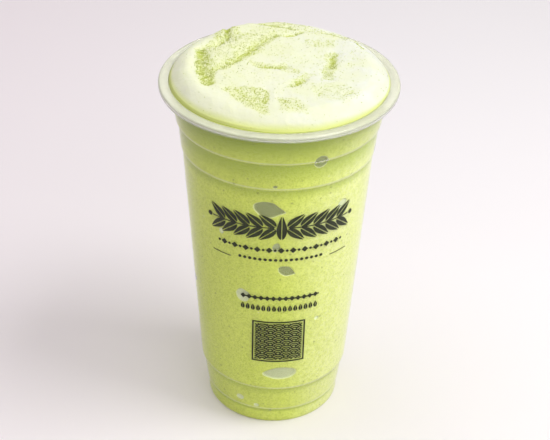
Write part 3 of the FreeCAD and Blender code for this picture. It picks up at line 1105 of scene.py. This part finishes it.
class FRAPPE_OT_ornament(bpy.types.Operator):
    """Prints a plain tea ornament on the front of the cup"""

    bl_idname = "frappe.ornament"
    bl_label = "Ornament"

    centre_bearing: bpy.props.FloatProperty(
        name="Bearing", description="Middle of the print, from the front to the right",
        default=math.radians(3.5), subtype="ANGLE",
    )

    def execute(self, context):
        sizes = context.scene.frappe_sizes
        ink = ink_material(context.scene.frappe_colours)
        bearing = math.degrees(self.centre_bearing)
        groups = {
            "print_leaves": self.leaves(sizes),
            "print_rules": self.rules(),
            "print_waves": self.waves(),
        }
        for name, builder in groups.items():
            wrapped = wrap_on_cup(builder, bearing, sizes.ink_thickness)
            finish_piece(mesh_object(name, wrapped, smooth=False), ink)
        return {"FINISHED"}

    def leaves(self, sizes):
        """The broad garland."""
        middle = 111.0 * MM
        builder = leaf_row(sizes.print_width, sizes.print_height)
        bmesh.ops.translate(builder, verts=builder.verts, vec=(0, 0, middle))
        return builder

    def rules(self):
        """Rows of dots and diamonds under the garland, thin rules and a row of small leaves."""
        builder = bmesh.new()
        # Each row's first and last place, shift in places, spacing, height, radius and corners.
        rows = (
            (-5, 5, 0.0, 4.9, 99.6, 1.45, 4),
            (-6, 5, 0.5, 4.9, 99.6, 0.62, 14),
            (-8, 8, 0.0, 2.15, 94.6, 0.72, 14),
            (-6, 6, 0.0, 2.6, 74.0, 1.30, 4),
            (-6, 6, 0.5, 2.6, 74.0, 0.42, 10),
        )
        for first, last, shift, spacing, height, radius, corners in rows:
            for step in range(first, last + 1):
                place = (step + shift) * spacing * MM
                add_disc(builder, place, height * MM, radius * MM, corners)
        for side in (-1.0, 1.0):
            add_bar(builder, side * 26.0 * MM, 93.2 * MM, 9.0 * MM, 0.38 * MM)
        for step in range(-7, 8):
            add_leaf(builder, 2.25 * MM * step, 66.8 * MM, 3.5 * MM, 0.85 * MM, math.pi / 2.0)
        return builder

    def waves(self):
        """A square of overlapping waves, an old textile pattern, in a thin frame."""
        builder = bmesh.new()
        half = 10.2 * MM
        middle = 49.8 * MM
        wave = 3.4 * MM
        stroke = 0.62 * MM
        for ring in (0.92, 0.62, 0.32):
            start = self.hidden_angle(ring)
            add_arc(builder, 0.0, middle, ring * wave, stroke, start, math.pi - start)
        places = [(row, column) for row in range(-7, 8) for column in range(-4, 5)]
        for (row, column), points in zip(places, copied(builder, len(places))):
            shift = Vector((wave * (2 * column + row % 2), 0.0, row * wave / 2.0))
            bmesh.ops.translate(builder, verts=points, vec=shift)
        for axis, side in ((0, -1.0), (0, 1.0), (2, -1.0), (2, 1.0)):
            normal = [0.0, 0.0, 0.0]
            normal[axis] = side
            place = [0.0, 0.0, middle]
            place[axis] += side * half
            bmesh.ops.bisect_plane(
                builder, geom=everything(builder), dist=0.001 * MM, plane_co=place,
                plane_no=normal, clear_outer=True,
            )
        frame_width = 0.7 * MM
        reach = half + 0.9 * MM
        for side in (-1.0, 1.0):
            offset = side * reach
            add_bar(builder, 0.0, middle + offset, 2.0 * reach + frame_width, frame_width)
            add_bar(builder, offset, middle, 2.0 * reach - frame_width, frame_width, math.pi / 2.0)
        return builder

    @staticmethod
    def hidden_angle(ring):
        """Angle at which a ring of a wave meets the two waves in front of it."""
        low, high = -math.pi / 6.0, math.pi / 2.0
        for _ in range(30):
            angle = (low + high) / 2.0
            covered = ring ** 2 + 0.25 - 2.0 * ring * math.cos(angle) + ring * math.sin(angle)
            if covered < 0.0:
                low = angle
            else:
                high = angle
        return high


# ---------------------------------------------------------------- stage


def soft_lamp(name, place, target, width, watts, colour):
    """A square softbox that points at a target."""
    data = bpy.data.lights.new(name, "AREA")
    data.shape = "SQUARE"
    data.size = width
    data.energy = watts
    data.color = colour
    lamp = bpy.data.objects.new(name, data)
    lamp.location = place
    lamp.rotation_euler = (Vector(target) - Vector(place)).to_track_quat("-Z", "Y").to_euler()
    bpy.context.scene.collection.objects.link(lamp)


def floor_material(colours):
    """A pale table with painted shade: greyer and pinker on the left, where the light falls off,
    and white on the right.
    """
    material, tree, place = new_material("pale table")
    patches, _ = mottle(tree, place, 1.5)
    # painted shade: the table darkens and turns pinker towards the left
    towards_right = ranged(tree, place_value(tree, place, 0), -0.42, 0.16)
    pale = layered(
        tree, shaded(colours.floor, (0.96, 0.885, 0.92)),
        (towards_right, 1.0, colours.floor),
        (patches, 0.3, shaded(colours.floor, 0.95)),
    )
    show_surface(tree, principled(tree, {"Base Color": pale, "Roughness": 0.85}))
    return material


class FRAPPE_OT_stage(bpy.types.Operator):
    """Sets the table, the lamps, the world and the camera"""

    bl_idname = "frappe.stage"
    bl_label = "Stage"

    def execute(self, context):
        self.table(context.scene.frappe_colours)
        self.lamps()
        self.world(context.scene)
        self.camera(context.scene)
        context.scene.view_settings.view_transform = "Standard"
        return {"FINISHED"}

    def table(self, colours):
        """A wide pale floor."""
        builder = bmesh.new()
        bmesh.ops.create_grid(builder, x_segments=8, y_segments=8, size=4.0)
        floor = mesh_object("table", builder)
        floor.data.materials.append(floor_material(colours))

    def lamps(self):
        """A high softbox on the right, a fainter one over the left and one in front."""
        target = (0.0, 0.0, 0.09)
        soft_lamp("key_softbox", (0.54, -0.16, 0.94), target, 0.45, 5.4, (0.99, 1.0, 0.99))
        soft_lamp("top_softbox", (-0.35, 0.15, 1.10), target, 0.9, 3.2, (1.0, 1.0, 1.0))
        soft_lamp("front_softbox", (0.48, -0.82, 0.62), target, 0.7, 2.2, (1.0, 1.0, 1.0))

    def world(self, scene):
        """A soft white room that lights faintly, and shows nearly white."""
        lighting, shown = 0.38, 0.9
        world = bpy.data.worlds.new("white room")
        scene.world = world
        world.use_nodes = True
        tree = world.node_tree
        tree.nodes.clear()
        rays = tree.nodes.new("ShaderNodeLightPath")
        direct = rays.outputs["Is Camera Ray"]
        for kind in ("Is Glossy Ray", "Is Transmission Ray"):
            direct = combined(tree, "MAXIMUM", direct, rays.outputs[kind])
        strength = shader_node(
            tree, "ShaderNodeMapRange", {0: direct, 1: 0.0, 2: 1.0, 3: lighting, 4: shown}
        ).outputs[0]
        glow = shader_node(
            tree, "ShaderNodeBackground", {"Color": (1.0, 0.96, 0.965), "Strength": strength}
        )
        shader_node(tree, "ShaderNodeOutputWorld", {"Surface": glow.outputs[0]})

    def camera(self, scene):
        """A long lens that looks down on the cup from the front."""
        data = bpy.data.cameras.new("camera")
        data.sensor_width = 36.0
        data.lens = 91.64
        data.clip_end = 20.0
        camera = bpy.data.objects.new("camera", data)
        pitch = math.radians(33.43)
        distance = 0.6043
        target = Vector((-0.0005, 0.0, 0.0895))
        forward = Vector((0.0, math.cos(pitch), -math.sin(pitch)))
        camera.location = target - distance * forward
        upright = Matrix.Rotation(math.pi / 2.0 - pitch, 4, "X")
        roll = Matrix.Rotation(math.radians(1.30), 4, "Z")
        camera.rotation_euler = (upright @ roll).to_euler()
        scene.collection.objects.link(camera)
        scene.camera = camera


class FRAPPE_PT_panel(bpy.types.Panel):
    """The frappe's sizes, colours and makers"""

    bl_idname = "FRAPPE_PT_panel"
    bl_label = "Matcha frappe"
    bl_space_type = "VIEW_3D"
    bl_region_type = "UI"
    bl_category = "Frappe"

    def draw(self, context):
        for group in (context.scene.frappe_sizes, context.scene.frappe_colours):
            box = self.layout.box()
            for key in group.bl_rna.properties.keys():
                if key not in {"rna_type", "name"}:
                    box.prop(group, key)
        for operator in MAKERS:
            self.layout.operator(operator.bl_idname)


MAKERS = (
    FRAPPE_OT_stage,
    FRAPPE_OT_cup,
    FRAPPE_OT_drink,
    FRAPPE_OT_foam,
    FRAPPE_OT_powder,
    FRAPPE_OT_ornament,
)
CLASSES = (FrappeSizes, FrappeColours) + MAKERS + (FRAPPE_PT_panel,)


def register():
    for item in CLASSES:
        bpy.utils.register_class(item)
    bpy.types.Scene.frappe_sizes = bpy.props.PointerProperty(type=FrappeSizes)
    bpy.types.Scene.frappe_colours = bpy.props.PointerProperty(type=FrappeColours)


def unregister():
    del bpy.types.Scene.frappe_colours
    del bpy.types.Scene.frappe_sizes
    for item in reversed(CLASSES):
        bpy.utils.unregister_class(item)


def main():
    """Makes the whole scene."""
    register()
    bpy.ops.frappe.stage()
    bpy.ops.frappe.cup()
    bpy.ops.frappe.drink()
    bpy.ops.frappe.foam()
    bpy.ops.frappe.powder()
    bpy.ops.frappe.ornament()


if __name__ == "__main__":
    main()
